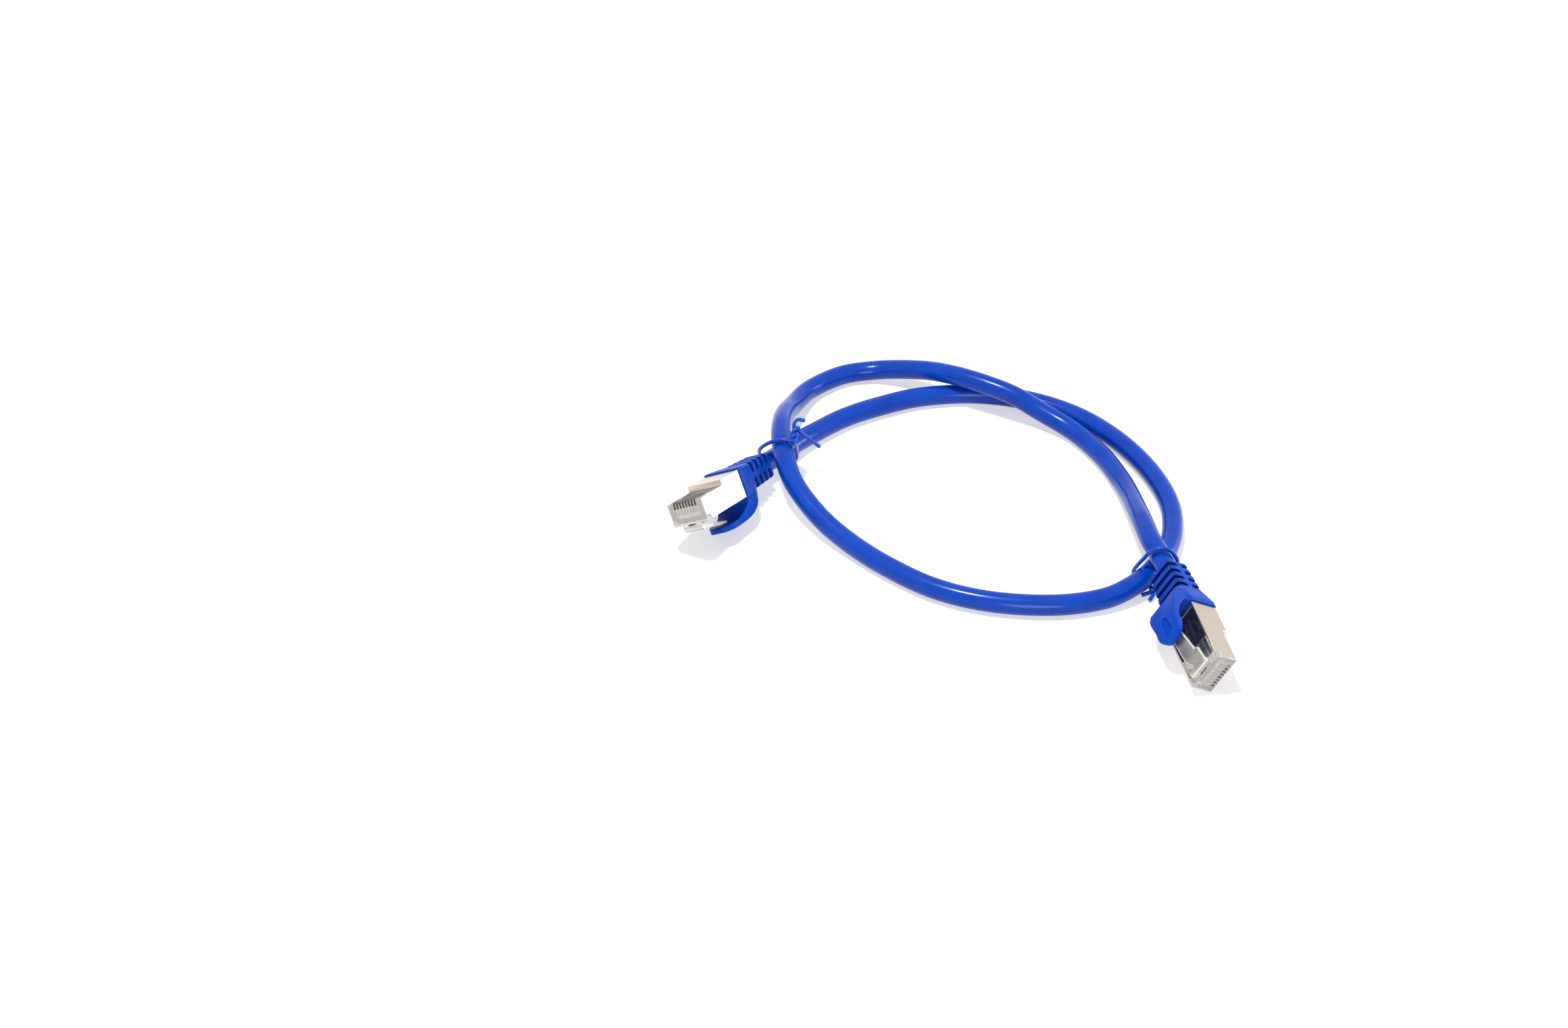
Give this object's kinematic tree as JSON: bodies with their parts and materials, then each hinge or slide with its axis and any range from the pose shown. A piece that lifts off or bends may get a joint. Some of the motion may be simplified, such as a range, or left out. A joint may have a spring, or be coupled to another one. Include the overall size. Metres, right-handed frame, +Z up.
{
  "type": "ethernet patch cable",
  "caption": "Blue shielded RJ45 patch cable lying in loose loops, with snagless boots, hinged latch covers and plastic-coated twist ties.",
  "frame": {"origin": "bottom centre of the bounding box of the two plugs with their boots (the cable and its ties are left out), on the table", "axes": "+Z up from the table; the cable lies in the XY plane with plug a at -X, its nose towards -Y, and plug b at +X, its nose towards -Y"},
  "size_m": [0.1474, 0.1484, 0.0204],
  "materials": {
    "jacket_blue": "smooth glossy PVC, saturated blue",
    "boot_blue": "moulded soft PVC, semi-gloss blue",
    "tie_blue": "plastic coated wire, blue",
    "nickel": "bright nickel plate over stamped brass",
    "clear": "clear polycarbonate",
    "gold": "gold plated contact blades",
    "braid": "tinned braid over foil",
    "wire_white_orange": "wire insulation",
    "wire_orange": "wire insulation",
    "wire_white_green": "wire insulation",
    "wire_blue": "wire insulation",
    "wire_white_blue": "wire insulation",
    "wire_green": "wire insulation",
    "wire_white_brown": "wire insulation",
    "wire_brown": "wire insulation"
  },
  "bodies": {
    "cord_set": {"cable_jacket": "jacket_blue", "twist_tie_a": "tie_blue", "twist_tie_b": "tie_blue", "boot_a": "boot_blue", "shield_shell_a": "nickel", "plug_housing_a": "clear", "contacts_a": "gold", "load_bar_a": "clear", "shield_braid_a": "braid", "wire_white_orange_a": "wire_white_orange", "wire_orange_a": "wire_orange", "wire_white_green_a": "wire_white_green", "wire_blue_a": "wire_blue", "wire_white_blue_a": "wire_white_blue", "wire_green_a": "wire_green", "wire_white_brown_a": "wire_white_brown", "wire_brown_a": "wire_brown", "boot_b": "boot_blue", "shield_shell_b": "nickel", "plug_housing_b": "clear", "contacts_b": "gold", "load_bar_b": "clear", "shield_braid_b": "braid", "wire_white_orange_b": "wire_white_orange", "wire_orange_b": "wire_orange", "wire_white_green_b": "wire_white_green", "wire_blue_b": "wire_blue", "wire_white_blue_b": "wire_white_blue", "wire_green_b": "wire_green", "wire_white_brown_b": "wire_white_brown", "wire_brown_b": "wire_brown"},
    "cover_a": {"latch_cover_a": "boot_blue"},
    "lever_a": {"latch_a": "clear"},
    "cover_b": {"latch_cover_b": "boot_blue"},
    "lever_b": {"latch_b": "clear"}
  },
  "joints": [
    {"name": "cover_a_press", "type": "hinge", "parent": "cord_set", "child": "cover_a", "pos_m": [-0.05463, 0.02833, 0.00483], "axis": [-0.8003, 0.3496, -0.4872], "range_deg": [0, 8], "stiffness_Nm_per_rad": 0.02},
    {"name": "latch_a_press", "type": "hinge", "parent": "cord_set", "child": "lever_a", "pos_m": [-0.06593, 0.01045, 0.01056], "axis": [0.8003, -0.3496, 0.4872], "range_deg": [0, 12]},
    {"name": "cover_b_press", "type": "hinge", "parent": "cord_set", "child": "cover_b", "pos_m": [0.05851, -0.02485, 0.01133], "axis": [0.4752, 0.0223, 0.8796], "range_deg": [0, 8], "stiffness_Nm_per_rad": 0.02},
    {"name": "latch_b_press", "type": "hinge", "parent": "cord_set", "child": "lever_b", "pos_m": [0.06386, -0.04598, 0.00898], "axis": [-0.4752, -0.0223, -0.8796], "range_deg": [0, 12]}
  ],
  "couplings": [
    {"joint": "latch_a_press", "follows": "cover_a_press", "ratio": 1.25},
    {"joint": "latch_b_press", "follows": "cover_b_press", "ratio": 1.25}
  ]
}
